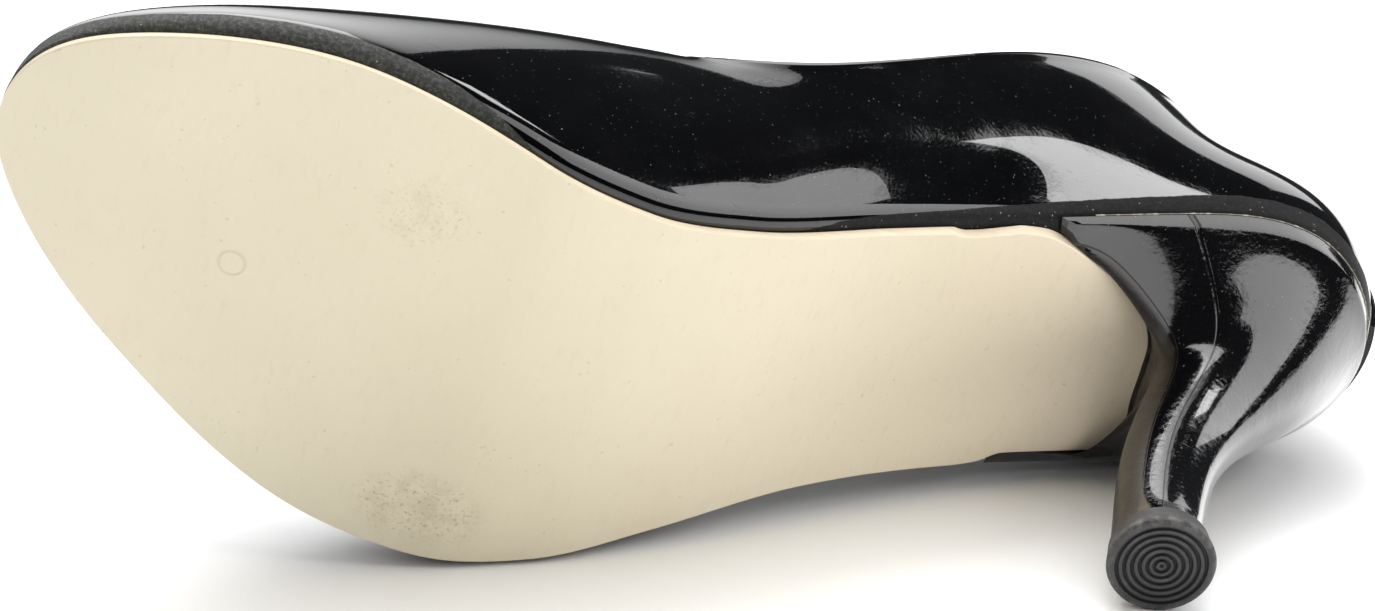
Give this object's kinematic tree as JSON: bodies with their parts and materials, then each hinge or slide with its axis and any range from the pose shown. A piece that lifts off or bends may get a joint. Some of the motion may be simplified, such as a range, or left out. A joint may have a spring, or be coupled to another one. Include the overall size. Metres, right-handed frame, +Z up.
{
  "type": "heeled shoe",
  "caption": "Right court shoe with a black patent upper, thin cream leather sole, slim curved covered heel and round rubber tip, lying on its outer side.",
  "frame": {"origin": "centre of the shoe's bounding box on the floor it lies on", "axes": "+X from the toe to the heel along the floor, +Y from the sole side to the collar side, +Z up from the floor, with the inner side of the shoe on top"},
  "size_m": [0.233, 0.1348, 0.09],
  "materials": {
    "black_patent": "glossy black patent leather, dull and roughed along the turned-in edge",
    "strip_patent": "glossy black patent leather",
    "tan_board": "plain tan insole",
    "cream_leather": "smooth cream sole leather, lightly used",
    "heel_cover": "moulded heel block in a glossy black patent cover",
    "grey_rubber": "dull dark grey rubber, worn at the rim"
  },
  "bodies": {
    "root": {"upper": "black_patent", "back_strip": "strip_patent", "insole": "tan_board", "outsole": "cream_leather", "heel": "heel_cover", "top_lift": "grey_rubber"}
  },
  "joints": []
}
